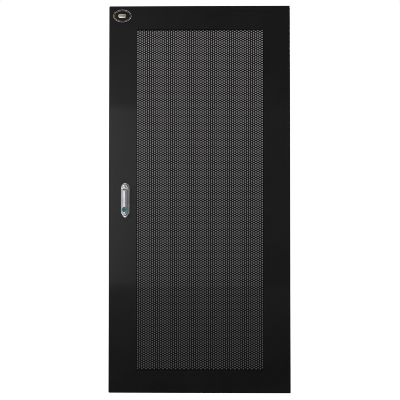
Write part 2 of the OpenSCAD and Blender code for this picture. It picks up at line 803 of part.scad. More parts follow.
module stud_nuts() color(STEEL) for (p = stud_places)
    layer(p[2], p[2] + stud_nut_t) on_lock() translate([p[0], p[1]]) difference() {
        hexagon(stud_nut_af);
        circle(stud_r + fit);
    }

// Welded stud; its neck, inside the nut, leaves the full diameter to the lead's eye
module earth_stud() color("#b08d4a") {
    layer(skin_t, earth_nut_back + gap) translate([earth_x, earth_z]) circle(earth_neck_r);
    layer(earth_nut_back + gap, skin_t + earth_l) translate([earth_x, earth_z]) circle(earth_r);
}

module earth_washer() color(STEEL) layer(skin_t, skin_t + washer_steel_t)
    translate([earth_x, earth_z]) difference() {
        circle(2 * earth_r);
        circle(earth_r + 2 * fit);
    }

module earth_nut() color(STEEL) layer(skin_t + washer_steel_t, earth_nut_back)
    translate([earth_x, earth_z]) difference() {
        hexagon(earth_nut_af);
        circle(earth_neck_r + fit);
    }

// ---- Trim ---------------------------------------------------------------------------

function ellipse(w, h) = [for (a = [0:7.5:359]) [w / 2 * cos(a), h / 2 * sin(a)]];

// Blank oval plate with a raised rim
module badge_plate() color("#3a3226") difference() {
    layer(-badge_t, 0) translate([x_left + badge_x, z_top - badge_z])
        polygon(ellipse(badge_w, badge_h));
    layer(-badge_t - eps, badge_recess - badge_t) translate([x_left + badge_x, z_top - badge_z])
        polygon(ellipse(badge_w - 2 * badge_rim, badge_h - 2 * badge_rim));
}

// Round pads on the lips, which meet the cabinet's frame
module rubber_buffers() color("#151515")
    for (x = [x_left + lip_w / 2, x_right - lip_w / 2])
        for (z = [z_bot + buffer_inset, z_top - buffer_inset])
            layer(door_d, door_d + buffer_t) translate([x, z]) circle(buffer_r);

door_skin();
perforated_sheet();
lock_side_channel();
hinge_side_channel();
top_rail();
bottom_rail();
upper_hinge_bracket();
lower_hinge_bracket();
upper_hinge_pin();
hinge_pin_clip();
hinge_spring();
lower_hinge_pin();
hinge_washer();
handle_base();
spindle();
swing_lever();
lever_pin();
pinion();
spindle_washer();
spindle_screw();
case_plate();
gear_case();
base_screw();
key_cylinder();
cylinder_nut();
key_plug();
lock_cam();
cam_screw();
upper_rod();
lower_rod();
rod_stop();
upper_end_guide();
upper_mid_guide();
lower_mid_guide();
lower_end_guide();
weld_studs();
stud_nuts();
earth_stud();
earth_washer();
earth_nut();
badge_plate();
rubber_buffers();
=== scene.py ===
"""Looks of a perforated rack door: finishes, pierced sheet, swing handle, badge and stage."""

import json
import logging
import math
from dataclasses import dataclass, field
from enum import Enum

import bmesh
import bpy
from mathutils import Matrix, Vector


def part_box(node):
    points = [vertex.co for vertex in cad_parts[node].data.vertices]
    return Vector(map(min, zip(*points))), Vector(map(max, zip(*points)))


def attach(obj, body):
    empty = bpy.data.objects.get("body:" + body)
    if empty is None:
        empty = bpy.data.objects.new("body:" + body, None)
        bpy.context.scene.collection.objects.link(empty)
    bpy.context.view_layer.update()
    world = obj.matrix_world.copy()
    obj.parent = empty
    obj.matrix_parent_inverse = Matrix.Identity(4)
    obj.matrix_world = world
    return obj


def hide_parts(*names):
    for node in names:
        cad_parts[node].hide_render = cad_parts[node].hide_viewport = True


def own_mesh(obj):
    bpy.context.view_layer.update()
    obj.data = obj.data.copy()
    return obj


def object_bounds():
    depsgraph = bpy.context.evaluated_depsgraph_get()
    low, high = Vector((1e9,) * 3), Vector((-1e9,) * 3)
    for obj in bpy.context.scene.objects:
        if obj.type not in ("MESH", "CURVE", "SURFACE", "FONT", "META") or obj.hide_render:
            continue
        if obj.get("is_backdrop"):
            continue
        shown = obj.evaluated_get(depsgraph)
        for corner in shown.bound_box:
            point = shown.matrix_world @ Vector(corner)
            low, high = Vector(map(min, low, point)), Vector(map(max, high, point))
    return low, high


log = logging.getLogger("rack_door")
MM = 0.001
# Keeps a whole number of holes from being rounded down
SLACK = 1e-6

Colour = tuple[float, float, float, float]
Point = tuple[float, float, float]
Socket = bpy.types.NodeSocket
Value = Socket | float

WHITE: Colour = (1.0, 1.0, 1.0, 1.0)
BLACK: Colour = (0.0, 0.0, 0.0, 1.0)
COOL_LIGHT: Colour = (1.0, 1.0, 1.03, 1.0)


# ---- Small helpers ------------------------------------------------------------------


def node_size(node: str) -> tuple[Vector, Vector]:
    """Gives the low and high corners of a frame node.

    Args:
        node: Name of the node.

    Returns:
        The two corners in metres.
    """
    low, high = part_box(node)
    return Vector(low), Vector(high)


def joint(name: str) -> dict:
    """Gives a joint's entry in the record."""
    return next(j for j in FRAME["record"]["behaviour"]["joints"] if j["name"] == name)


# ---- Shader building ----------------------------------------------------------------


class Shader:
    """A material's node tree with short ways to add and link nodes."""

    def __init__(self, tree: bpy.types.NodeTree) -> None:
        """Keeps the tree that the nodes go into."""
        self.tree = tree

    def feed(self, node: bpy.types.Node, inputs: dict) -> None:
        """Sets or links inputs of a node.

        Args:
            node: The node.
            inputs: Values or output sockets by input name or number.
        """
        for key, value in inputs.items():
            if isinstance(value, bpy.types.NodeSocket):
                self.tree.links.new(value, node.inputs[key])
            else:
                node.inputs[key].default_value = value

    def node(self, kind: str, inputs: dict | None = None, **settings: object) -> bpy.types.Node:
        """Adds a node.

        Args:
            kind: Blender's name of the node's type.
            inputs: Values or output sockets by input name or number.
            settings: Properties of the node.

        Returns:
            The new node.
        """
        made = self.tree.nodes.new(kind)
        for key, value in settings.items():
            setattr(made, key, value)
        self.feed(made, inputs or {})
        return made

    def math(self, operation: str, first: Value, second: Value) -> Socket:
        """Adds a Math node.

        Args:
            operation: Name of the node's operation.
            first: First value or socket.
            second: Second value or socket.

        Returns:
            The result's socket.
        """
        return self.node("ShaderNodeMath", {0: first, 1: second}, operation=operation).outputs[0]

    def spread(self, value: Value, low: float, high: float, to_low: float, to_high: float) -> Socket:
        """Maps a value from one range to another, held at its ends.

        Args:
            value: Socket of the value.
            low: Start of the range that is read.
            high: End of that range.
            to_low: Result at the start.
            to_high: Result at the end.

        Returns:
            The result's socket.
        """
        ends = {"Value": value, "From Min": low, "From Max": high, "To Min": to_low, "To Max": to_high}
        return self.node("ShaderNodeMapRange", ends, clamp=True).outputs["Result"]

    def mask(self, noise: Socket) -> Socket:
        """Turns the middle of a noise into a soft mask from 0 to 1."""
        return self.spread(noise, 0.35, 0.65, 0.0, 1.0)

    def vary(self, noise: Socket, low: float, high: float) -> Socket:
        """Lets a noise vary a value.

        Args:
            noise: Socket of the noise.
            low: Least value.
            high: Greatest value.

        Returns:
            The varied value's socket.
        """
        return self.spread(noise, 0.3, 0.7, low, high)

    def noise(self, place: Socket, scale: Value, detail: float, rough: float = 0.5) -> Socket:
        """Adds a noise texture.

        Args:
            place: Socket of the point that is looked up.
            scale: Waves to a metre.
            detail: Number of finer layers.
            rough: Share of each finer layer.

        Returns:
            The noise's socket.
        """
        inputs = {"Vector": place, "Scale": scale, "Detail": detail, "Roughness": rough}
        return self.node("ShaderNodeTexNoise", inputs).outputs["Fac"]

    def place(self) -> Socket:
        """Gives the point on the object, in the object's own frame."""
        return self.node("ShaderNodeTexCoord").outputs["Object"]

    def axes(self) -> bpy.types.bpy_prop_collection:
        """Gives the X, Y and Z sockets of the point on the object."""
        return self.node("ShaderNodeSeparateXYZ", {0: self.place()}).outputs

    def soft_edge(self, radius: float) -> Socket:
        """Gives normals that round the sharp edges off by a radius in metres."""
        return self.node("ShaderNodeBevel", {"Radius": radius}, samples=6).outputs[0]

    def blend(self, share: Value, first: Socket | Colour, second: Socket | Colour) -> Socket:
        """Mixes two colours.

        Args:
            share: Share of the second colour.
            first: Colour at share 0.
            second: Colour at share 1.

        Returns:
            The mixed colour's socket.
        """
        # The Mix node names its float and colour inputs alike, so they are numbered
        mixer = self.node("ShaderNodeMix", data_type="RGBA")
        self.feed(mixer, {0: share, 6: first, 7: second})
        return mixer.outputs[2]


def begin_material(name: str) -> tuple[bpy.types.Material, Shader, bpy.types.Node]:
    """Starts a material.

    Args:
        name: Name of the material.

    Returns:
        The material, its shader builder and its Principled node.
    """
    material = bpy.data.materials.new(name)
    material.use_nodes = True
    return material, Shader(material.node_tree), material.node_tree.nodes["Principled BSDF"]


class Effects:
    """Node groups that several finishes share, each built once."""

    def __init__(self) -> None:
        """Starts with no group built."""
        self.made: dict[str, bpy.types.NodeTree] = {}

    def begin(self, name: str, inputs: dict[str, float],
              outputs: list[str]) -> tuple[Shader, bpy.types.Node, bpy.types.Node]:
        """Starts a group with its sockets.

        Args:
            name: Name of the group.
            inputs: Default of each input by name.
            outputs: Names of the outputs.

        Returns:
            The group's shader builder, its input node and its output node.
        """
        tree = bpy.data.node_groups.new(name, "ShaderNodeTree")
        for key, value in inputs.items():
            socket = tree.interface.new_socket(key, in_out="INPUT", socket_type="NodeSocketFloat")
            socket.default_value = value
        for key in outputs:
            tree.interface.new_socket(key, in_out="OUTPUT", socket_type="NodeSocketFloat")
        self.made[name] = tree
        shader = Shader(tree)
        return shader, shader.node("NodeGroupInput"), shader.node("NodeGroupOutput")

    def orange_peel(self) -> bpy.types.NodeTree:
        """Builds the skin of sprayed powder: fine pebbling, slow waves and a dust mask.

        Returns:
            The group, with a Height, a Patch and a Dust output.
        """
        if "orange_peel" in self.made:
            return self.made["orange_peel"]
        inputs = {"Pebble Scale": 900.0, "Wave Scale": 60.0}
        made, inside, out = self.begin("orange_peel", inputs, ["Height", "Patch", "Dust"])
        place = made.place()
        pebble = made.noise(place, inside.outputs["Pebble Scale"], detail=2.0, rough=0.6)
        wave = made.noise(place, inside.outputs["Wave Scale"], detail=3.0)
        patch = made.noise(place, scale=4.0, detail=5.0, rough=0.62)
        speck = made.noise(place, scale=1400.0, detail=1.0)
        height = made.math("ADD", pebble, made.math("MULTIPLY", wave, 0.6))
        specks = made.spread(speck, 0.66, 0.74, 0.0, 1.0)
        dusty_places = made.spread(patch, 0.45, 0.7, 0.0, 1.0)
        made.feed(out, {"Height": height, "Patch": patch,
                        "Dust": made.math("MULTIPLY", specks, dusty_places)})
        return made.tree

    def brushing(self) -> bpy.types.NodeTree:
        """Builds fine lines along one axis, for brushed, drawn or rolled metal.

        Returns:
            The group, with a Lines and a Smear output.
        """
        if "brushing" in self.made:
            return self.made["brushing"]
        inputs = {"Across X": 1400.0, "Across Y": 1400.0, "Across Z": 30.0}
        made, inside, out = self.begin("brushing", inputs, ["Lines", "Smear"])
        place = made.place()
        scale = made.node("ShaderNodeCombineXYZ", {i: inside.outputs[i] for i in range(3)}).outputs[0]
        drawn = made.node("ShaderNodeVectorMath", {0: place, 1: scale}, operation="MULTIPLY").outputs[0]
        made.feed(out, {"Lines": made.noise(drawn, scale=1.0, detail=4.0, rough=0.65),
                        "Smear": made.noise(place, scale=45.0, detail=4.0)})
        return made.tree


EFFECTS = Effects()


@dataclass(frozen=True)
class Coating:
    """Satin powder coat on sheet steel."""

    name: str
    dark: Colour = (0.0085, 0.0085, 0.0092, 1.0)
    light: Colour = (0.0125, 0.0125, 0.0135, 1.0)
    dust: Colour = (0.09, 0.088, 0.085, 1.0)
    dust_share: float = 0.25
    rough: float = 0.45
    smoother: float = 0.05
    rougher: float = 0.06
    coat: float = 0.3
    coat_rough: float = 0.09
    bump: float = 0.10
    relief: float = 0.1 * MM
    specular: float = 0.12
    edge: float = 0.8 * MM

    def build(self) -> bpy.types.Material:
        """Builds the material.

        Returns:
            The finished material.
        """
        material, made, shader = begin_material(self.name)
        peel = made.node("ShaderNodeGroup", node_tree=EFFECTS.orange_peel()).outputs
        paint = made.blend(made.mask(peel["Patch"]), self.dark, self.light)
        dusty = made.blend(made.math("MULTIPLY", peel["Dust"], self.dust_share), paint, self.dust)
        rough = made.vary(peel["Patch"], self.rough - self.smoother, self.rough + self.rougher)
        bump = made.node("ShaderNodeBump", {"Height": peel["Height"], "Strength": self.bump,
                                            "Distance": self.relief})
        if self.edge:
            made.feed(bump, {"Normal": made.soft_edge(self.edge)})
        made.feed(shader, {"Base Color": dusty, "Roughness": rough, "Normal": bump.outputs[0],
                           "Coat Weight": self.coat, "Coat Roughness": self.coat_rough,
                           "Specular IOR Level": self.specular})
        return material


@dataclass(frozen=True)
class BareMetal:
    """Plated, drawn or cast metal with fine lines and slow stains."""

    name: str
    dark: Colour
    light: Colour
    rough: float = 0.32
    spread: float = 0.10
    lines: Point = (900.0, 900.0, 40.0)
    bump: float = 0.15
    relief: float = 0.05 * MM

    def build(self) -> bpy.types.Material:
        """Builds the material.

        Returns:
            The finished material.
        """
        material, made, shader = begin_material(self.name)
        scales = dict(enumerate(self.lines))
        brush = made.node("ShaderNodeGroup", scales, node_tree=EFFECTS.brushing()).outputs
        rough = made.vary(brush["Lines"], self.rough - self.spread / 2, self.rough + self.spread / 2)
        bump = made.node("ShaderNodeBump", {"Height": brush["Lines"], "Strength": self.bump,
                                            "Distance": self.relief})
        made.feed(shader, {"Base Color": made.blend(made.mask(brush["Smear"]), self.dark, self.light),
                           "Roughness": rough, "Normal": bump.outputs[0], "Metallic": 1.0})
        return material


@dataclass(frozen=True)
class Filmed:
    """Satin chrome of the handle, with a bluish guard film wrapped round it at the key."""

    name: str
    dark: Colour = (0.64, 0.64, 0.65, 1.0)
    light: Colour = (0.75, 0.75, 0.76, 1.0)
    film: Colour = (0.55, 0.68, 0.73, 1.0)
    rough: float = 0.31
    smoother: float = 0.04
    rougher: float = 0.05
    lines: Point = (1100.0, 1100.0, 90.0)
    bump: float = 0.06
    relief: float = 0.05 * MM
    edge: float = 0.6 * MM
    film_top: float = 10 * MM
    film_bottom: float = 15 * MM
    film_wave: float = 3 * MM
    film_least: float = 0.55
    film_gloss: float = 0.08

    def build(self) -> bpy.types.Material:
        """Builds the material.

        Returns:
            The finished material.
        """
        material, made, shader = begin_material(self.name)
        scales = dict(enumerate(self.lines))
        brush = made.node("ShaderNodeGroup", scales, node_tree=EFFECTS.brushing()).outputs
        chrome = made.blend(made.mask(brush["Smear"]), self.dark, self.light)
        filmed = self.covered(made, brush["Smear"])
        rough = made.vary(brush["Lines"], self.rough - self.smoother, self.rough + self.rougher)
        glossier = made.math("SUBTRACT", rough, made.math("MULTIPLY", filmed, self.film_gloss))
        bump = made.node("ShaderNodeBump", {"Height": brush["Lines"], "Strength": self.bump,
                                            "Distance": self.relief, "Normal": made.soft_edge(self.edge)})
        made.feed(shader, {"Base Color": made.blend(filmed, chrome, self.film), "Roughness": glossier,
                           "Normal": bump.outputs[0], "Metallic": 1.0})
        return material

    def covered(self, made: Shader, smear: Socket) -> Socket:
        """Masks the band that the creased film covers.

        Args:
            made: Shader that the nodes go into.
            smear: Socket of the slow noise that moves the film's edges.

        Returns:
            The mask's socket.
        """
        key = joint("key_turn")["pos_m"][2]
        height = made.math("ADD", made.axes()["Z"], made.vary(smear, -self.film_wave, self.film_wave))
        above = made.spread(height, key, key + self.film_top, 1.0, 0.0)
        below = made.spread(height, key - self.film_bottom, key - self.film_bottom / 2, 0.0, 1.0)
        creases = made.spread(smear, 0.38, 0.6, self.film_least, 1.0)
        return made.math("MULTIPLY", made.math("MULTIPLY", above, below), creases)


@dataclass(frozen=True)
class Moulded:
    """Moulded nylon or rubber with a faint grain."""

    name: str
    dark: Colour
    light: Colour
    rough: float = 0.55
    bump: float = 0.2
    spread: float = 0.10
    pebble: float = 2200.0
    wave: float = 300.0
    relief: float = 0.08 * MM

    def build(self) -> bpy.types.Material:
        """Builds the material.

        Returns:
            The finished material.
        """
        material, made, shader = begin_material(self.name)
        scales = {"Pebble Scale": self.pebble, "Wave Scale": self.wave}
        peel = made.node("ShaderNodeGroup", scales, node_tree=EFFECTS.orange_peel()).outputs
        rough = made.vary(peel["Patch"], self.rough - self.spread / 2, self.rough + self.spread / 2)
        bump = made.node("ShaderNodeBump", {"Height": peel["Height"], "Strength": self.bump,
                                            "Distance": self.relief})
        made.feed(shader, {"Base Color": made.blend(made.mask(peel["Patch"]), self.dark, self.light),
                           "Roughness": rough, "Normal": bump.outputs[0]})
        return material


class Finish(Enum):
    """Finishes of the door by the record's slot name."""

    BLACK_PAINT = Coating("black_paint")
    BLACK_MESH = Coating("black_mesh", dark=(0.0096, 0.0096, 0.0101, 1.0),
                         light=(0.0129, 0.0129, 0.0135, 1.0), coat=0.06, rough=0.5, specular=0.05,
                         edge=0.0)
    BLACK_FRAME = Coating("black_frame", coat=0.25, rough=0.5)
    ZINC_STEEL = BareMetal("zinc_steel", (0.42, 0.42, 0.44, 1.0), (0.58, 0.58, 0.59, 1.0), 0.36)
    SPRING_STEEL = BareMetal("spring_steel", (0.28, 0.28, 0.30, 1.0), (0.40, 0.40, 0.42, 1.0), 0.3)
    COPPER_STEEL = BareMetal("copper_steel", (0.50, 0.29, 0.16, 1.0), (0.66, 0.42, 0.26, 1.0), 0.32)
    SATIN_CHROME = Filmed("satin_chrome")
    TEAL_CYLINDER = Coating("teal_cylinder", dark=(0.08, 0.30, 0.37, 1.0), light=(0.13, 0.42, 0.50, 1.0),
                            rough=0.3, specular=0.5)
    WARM_METAL = BareMetal("warm_metal", (0.66, 0.55, 0.42, 1.0), (0.85, 0.76, 0.62, 1.0), 0.3,
                           lines=(60.0, 900.0, 1100.0), bump=0.05)
    BADGE_RIM = BareMetal("badge_rim", (0.40, 0.36, 0.30, 1.0), (0.56, 0.52, 0.46, 1.0), 0.3,
                          lines=(900.0, 900.0, 900.0), bump=0.05)
    WHITE_NYLON = Moulded("white_nylon", (0.66, 0.65, 0.60, 1.0), (0.76, 0.75, 0.70, 1.0), 0.45)
    BLACK_NYLON = Moulded("black_nylon", (0.018, 0.018, 0.019, 1.0), (0.03, 0.03, 0.031, 1.0), 0.5)
    BADGE_METAL = Coating("badge_metal", dark=(0.012, 0.011, 0.010, 1.0), light=(0.02, 0.018, 0.016, 1.0),
                          rough=0.3, bump=0.03)
    RUBBER = Moulded("rubber", (0.014, 0.014, 0.014, 1.0), (0.024, 0.024, 0.023, 1.0), 0.8, 0.4)


SLOTS = {Finish.WARM_METAL: "badge_metal", Finish.BADGE_RIM: "badge_metal"}


class Wardrobe:
    """Builds each finish once and puts it on pieces and frame nodes."""

    def __init__(self) -> None:
        """Starts with nothing built."""
        self.made: dict[Finish, bpy.types.Material] = {}

    def get(self, finish: Finish) -> bpy.types.Material:
        """Gives a finish's material, built on first use.

        Args:
            finish: The finish wanted.

        Returns:
            Its material.
        """
        if finish not in self.made:
            self.made[finish] = finish.value.build()
        return self.made[finish]

    def dress(self, thing: bpy.types.Object, finish: Finish) -> None:
        """Puts one finish on every slot of an object."""
        if not thing.data.materials:
            thing.data.materials.append(self.get(finish))
        for number in range(len(thing.data.materials)):
            thing.data.materials[number] = self.get(finish)

    def dress_frame(self) -> None:
        """Puts on every frame node the finish that the record names."""
        for part in FRAME["record"]["subparts"]:
            finish = Finish[part["material_slot"].upper()]
            self.dress(FRAME["nodes"][part["node"]], finish)


WARDROBE = Wardrobe()


def add_piece(name: str, body: str, finish: Finish, points: list, faces: list) -> bpy.types.Object:
    """Makes a mesh piece that rides on a body.

    Args:
        name: Name of the piece.
        body: Body that carries it.
        finish: Finish of the whole piece.
        points: Corners in metres.
        faces: Corner numbers of each face.

    Returns:
        The new object.
    """
    mesh = bpy.data.meshes.new(name)
    mesh.from_pydata(points, [], faces)
    mesh.update()
    piece = bpy.data.objects.new(name, mesh)
    bpy.context.scene.collection.objects.link(piece)
    piece.data.materials.append(WARDROBE.get(finish))
    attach(piece, body)
    SLOTS.get(finish, finish.value.name)
    log.info("%s: %d faces on %s", name, len(faces), body)
    return piece


def from_bmesh(name: str, body: str, finish: Finish, built: bmesh.types.BMesh) -> bpy.types.Object:
    """Makes a piece from a bmesh, with its faces turned outwards.

    Args:
        name: Name of the piece.
        body: Body that carries it.
        finish: Finish of the whole piece.
        built: The mesh that was built, which is freed.

    Returns:
        The new object.
    """
    bmesh.ops.recalc_face_normals(built, faces=built.faces[:])
    built.verts.index_update()
    points = [vertex.co.copy() for vertex in built.verts]
    faces = [tuple(vertex.index for vertex in face.verts) for face in built.faces]
    built.free()
    return add_piece(name, body, finish, points, faces)


def smooth(piece: bpy.types.Object, angle: float = 35.0) -> None:
    """Shades a piece smoothly, apart from edges sharper than an angle.

    Args:
        piece: The piece.
        angle: Angle in degrees past which an edge stays sharp.
    """
    for face in piece.data.polygons:
        face.use_smooth = True
    piece.data.set_sharp_from_angle(angle=math.radians(angle))


# ---- Perforated sheet ---------------------------------------------------------------


@dataclass
class PiercedSheet:
    """Steel sheet with round holes in staggered columns, made in upright strips."""

    hole: float = 5.0 * MM
    pitch_x: float = 6.98 * MM
    pitch_z: float = 7.63 * MM
    offset_x: float = -0.8 * MM
    offset_z: float = 2.0 * MM
    edge: float = 10.0 * MM
    strips: int = 4
    sides: int = 10
    pieces: list[bpy.types.Object] = field(default_factory=list)

    def build(self) -> None:
        """Builds the strips and lets them stand for the frame's coarser sheet."""
        low, high = node_size("perforated_sheet")
        field_w = high.x - low.x - 2 * self.edge
        field_h = high.z - low.z - 2 * self.edge
        columns = int(field_w / self.pitch_x + SLACK)
        # Every other column stands half a pitch higher, so half a pitch is kept for it
        rows = int(field_h / self.pitch_z - 0.5 + SLACK)
        middle_x = (low.x + high.x) / 2 + self.offset_x
        middle_z = (low.z + high.z) / 2 + self.offset_z
        starts = [round(columns * k / self.strips) for k in range(self.strips + 1)]
        for k in range(self.strips):
            points: list[Point] = []
            faces: list[tuple[int, ...]] = []
            for i in range(starts[k], starts[k + 1]):
                x = middle_x + (i - (columns - 1) / 2) * self.pitch_x
                shift = (i % 2) / 2 - 0.25
                z0 = middle_z + (-(rows - 1) / 2 + shift) * self.pitch_z
                left = low.x if i == 0 else x - self.pitch_x / 2
                right = high.x if i == columns - 1 else x + self.pitch_x / 2
                for j in range(rows):
                    bottom = low.z if j == 0 else z0 + (j - 0.5) * self.pitch_z
                    top = high.z if j == rows - 1 else z0 + (j + 0.5) * self.pitch_z
                    self.add_cell(points, faces, x, z0 + j * self.pitch_z, (left, right, bottom, top),
                                  low.y, high.y)
            piece = add_piece(f"pierced_sheet_{k + 1}", "door_leaf", Finish.BLACK_MESH, points, faces)
            self.pieces.append(piece)
        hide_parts("perforated_sheet")

    def add_cell(self, points: list, faces: list, x: float, z: float,
                 limits: tuple[float, float, float, float], front: float, back: float) -> None:
        """Adds one hole with the metal round it.

        Args:
            points: Corners made so far.
            faces: Faces made so far.
            x: Middle of the hole across the door.
            z: Height of its middle.
            limits: Left, right, bottom and top of the cell.
            front: Depth of the front face.
            back: Depth of the back face.
        """
        left, right, bottom, top = limits
        start = len(points)
        outline = [(right, z), (right, top), (left, top), (left, z), (left, bottom), (right, bottom)]
        ring = [(x + self.hole / 2 * math.cos(math.tau * k / self.sides),
                 z + self.hole / 2 * math.sin(math.tau * k / self.sides)) for k in range(self.sides)]
        for depth in (front, back):
            points.extend((px, depth, pz) for px, pz in outline + ring)
        count = len(outline)
        total = count + self.sides
        spans = self.bridge(outline, ring, x, z)
        for a, b, c in spans:
            faces.append((start + a, start + b, start + c))
            faces.append((start + total + a, start + total + c, start + total + b))
        for k in range(self.sides):
            a = start + count + k
            b = start + count + (k + 1) % self.sides
            faces.append((a, b, b + total, a + total))

    @staticmethod
    def bridge(outline: list, ring: list, x: float, z: float) -> list[tuple[int, int, int]]:
        """Joins a cell's outline to its hole with triangles.

        Args:
            outline: Points of the cell's edge, anticlockwise.
            ring: Points of the hole, anticlockwise.
            x: Middle of the hole.
            z: Height of its middle.

        Returns:
            Corner numbers of the triangles, facing the front.
        """
        def turn(point: tuple[float, float]) -> float:
            """Gives a point's angle round the hole, from 0 to a full turn."""
            return math.atan2(point[1] - z, point[0] - x) % math.tau

        outer = [turn(p) for p in outline] + [math.tau]
        inner = [turn(p) for p in ring] + [math.tau]
        count = len(outline)
        i = j = 0
        made = []
        while i < count or j < len(ring):
            a = i % count
            b = count + j % len(ring)
            if j >= len(ring) or (i < count and outer[i + 1] <= inner[j + 1]):
                made.append((a, (i + 1) % count, b))
                i += 1
            else:
                made.append((a, count + (j + 1) % len(ring), b))
                j += 1
        return made


# ---- Badge --------------------------------------------------------------------------


@dataclass
class Badge:
    """Blank oval badge: bright rim, dark enamel field and a plain bar of warm metal."""

    rim: float = 1.5 * MM
    field_depth: float = 0.8 * MM
    crown: float = 0.35 * MM
    bar_w: float = 26 * MM
    bar_h: float = 12 * MM
    bar_edge: float = 0.3 * MM
    line_gap: float = 2.2 * MM
    line_w: float = 0.6 * MM
    line_rise: float = 0.18 * MM
    edge_depth: float = 0.12 * MM
    steps: int = 96
    field_rings: int = 8
    bar_sides: int = 48

    def __post_init__(self) -> None:
        """Takes the badge's place and size from the frame's plate."""
        low, high = node_size("badge_plate")
        self.middle = (low + high) / 2
        self.half_w = (high.x - low.x) / 2
        self.half_h = (high.z - low.z) / 2
        self.back = high.y
        self.front = low.y

    def build(self) -> None:
        """Builds the badge's pieces in the place of the frame's plate."""
        rim = self.build_rim()
        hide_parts("badge_plate")
        self.build_field()
        self.build_line()
        self.build_bar()

    def ring(self, inset: float, depth: float) -> list[Point]:
        """Gives the points of an oval inside the badge's edge.

        Args:
            inset: Distance from the edge.
            depth: Depth of the oval.

        Returns:
            Its points in metres.
        """
        return [(self.middle.x + (self.half_w - inset) * math.cos(math.tau * k / self.steps), depth,
                 self.middle.z + (self.half_h - inset) * math.sin(math.tau * k / self.steps))
                for k in range(self.steps)]

    def loft(self, name: str, finish: Finish, profile: list[tuple[float, float]],
             closed: bool) -> bpy.types.Object:
        """Makes a piece from ovals that follow a profile.

        Args:
            name: Name of the piece.
            finish: Its finish.
            profile: Inset and depth of each oval, from the outside in.
            closed: Whether the profile returns to its start, and otherwise the last oval is filled.

        Returns:
            The new piece.
        """
        points = [point for inset, depth in profile for point in self.ring(inset, depth)]
        count = len(profile)
        faces = []
        for i in range(count if closed else count - 1):
            a, b = i * self.steps, (i + 1) % count * self.steps
            faces += [(a + k, b + k, b + (k + 1) % self.steps, a + (k + 1) % self.steps)
                      for k in range(self.steps)]
        if not closed:
            faces.append(tuple((count - 1) * self.steps + k for k in range(self.steps)))
        piece = add_piece(name, "door_leaf", finish, points, faces)
        smooth(piece)
        return piece

    def build_rim(self) -> bpy.types.Object:
        """Builds the bright rim, which slopes in to the field.

        Returns:
            The rim.
        """
        top, back, width = self.front, self.back, self.rim
        profile = [(0.0, back), (0.0, top + self.edge_depth), (0.08 * MM, top + 0.03 * MM), (0.2 * MM, top),
                   (0.4 * MM, top + 0.03 * MM), (width - 0.15 * MM, top + self.field_depth - 0.06 * MM),
                   (width, top + self.field_depth), (width, back)]
        return self.loft("badge_rim", Finish.BADGE_RIM, profile, True)

    def build_field(self) -> None:
        """Builds the enamel field, which rises a little to its middle."""
        depth = self.front + self.field_depth
        reach = self.half_h - self.rim
        profile = [(self.rim, self.back), (self.rim, depth)]
        for k in range(1, self.field_rings + 1):
            share = k / (self.field_rings + 1)
            profile.append((self.rim + reach * share, depth - self.crown * math.sin(share * math.pi / 2)))
        self.loft("badge_field", Finish.BADGE_METAL, profile, False)

    def build_line(self) -> None:
        """Builds a fine line of warm metal a little inside the rim."""
        depth = self.front + self.field_depth - self.line_rise
        inset = self.rim + self.line_gap
        width = self.line_w
        profile = [(inset, self.back), (inset, depth), (inset + width / 2, depth - 0.04 * MM),
                   (inset + width, depth), (inset + width, self.back)]
        self.loft("badge_line", Finish.WARM_METAL, profile, True)

    def build_bar(self) -> None:
        """Builds the plain bar across the middle, with round ends and a soft edge."""
        bar = bmesh.new()
        reach = (self.bar_w - self.bar_h) / 2
        levels = [(0.0, self.back), (0.0, self.front + self.edge_depth), (self.bar_edge, self.front)]
        rings = []
        for inset, depth in levels:
            radius = self.bar_h / 2 - inset
            ring = []
            for k in range(self.bar_sides):
                turn = math.tau * (k + 0.5) / self.bar_sides
                side = reach if math.cos(turn) > 0 else -reach
                ring.append(bar.verts.new((self.middle.x + side + radius * math.cos(turn), depth,
                                           self.middle.z + radius * math.sin(turn))))
            rings.append(ring)
        for lower, upper in zip(rings, rings[1:]):
            for k in range(self.bar_sides):
                after = (k + 1) % self.bar_sides
                bar.faces.new((lower[k], upper[k], upper[after], lower[after]))
        bar.faces.new(rings[-1])
        smooth(from_bmesh("badge_bar", "door_leaf", Finish.WARM_METAL, bar))


# ---- Hinge spring -------------------------------------------------------------------


@dataclass
class HingeSpring:
    """Wire spring round the upper hinge pin, built rigid on the door leaf; the real one shortens as the pin
    is pulled down.
    """

    wire: float = 1.2 * MM
    turns: int = 8
    steps: int = 36
    sides: int = 12

    def build(self) -> None:
        """Builds the coiled spring, rigid like the frame's one, in its place."""
        low, high = node_size("hinge_spring")
        middle = (low + high) / 2
        radius = (high.x - low.x - self.wire) / 2
        climb = high.z - low.z - self.wire
        coil = bmesh.new()
        rings = []
        for i in range(self.turns * self.steps + 1):
            share = i / (self.turns * self.steps)
            place = Vector((middle.x, middle.y, low.z + self.wire / 2 + climb * share))
            rings.append(self.ring(coil, place, radius, math.tau * self.turns * share))
        for lower, upper in zip(rings, rings[1:]):
            for k in range(self.sides):
                after = (k + 1) % self.sides
                coil.faces.new((lower[k], upper[k], upper[after], lower[after]))
        coil.faces.new(rings[0])
        coil.faces.new(rings[-1])
        piece = from_bmesh("hinge_coil", "door_leaf", Finish.SPRING_STEEL, coil)
        smooth(piece)
        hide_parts("hinge_spring")
        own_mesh(piece)

    def ring(self, coil: bmesh.types.BMesh, place: Vector, radius: float, turn: float) -> list:
        """Adds the wire's round section at one place of the coil.

        Args:
            coil: The mesh that is built.
            place: Point on the coil's axis at the section's height.
            radius: Radius of the coil at the middle of the wire.
            turn: Angle round the axis.

        Returns:
            The section's corners.
        """
        made = []
        for k in range(self.sides):
            side = math.tau * k / self.sides
            reach = radius + self.wire / 2 * math.cos(side)
            offset = Vector((reach * math.cos(turn), reach * math.sin(turn), self.wire / 2 * math.sin(side)))
            made.append(coil.verts.new(place + offset))
        return made


# ---- Stage --------------------------------------------------------------------------


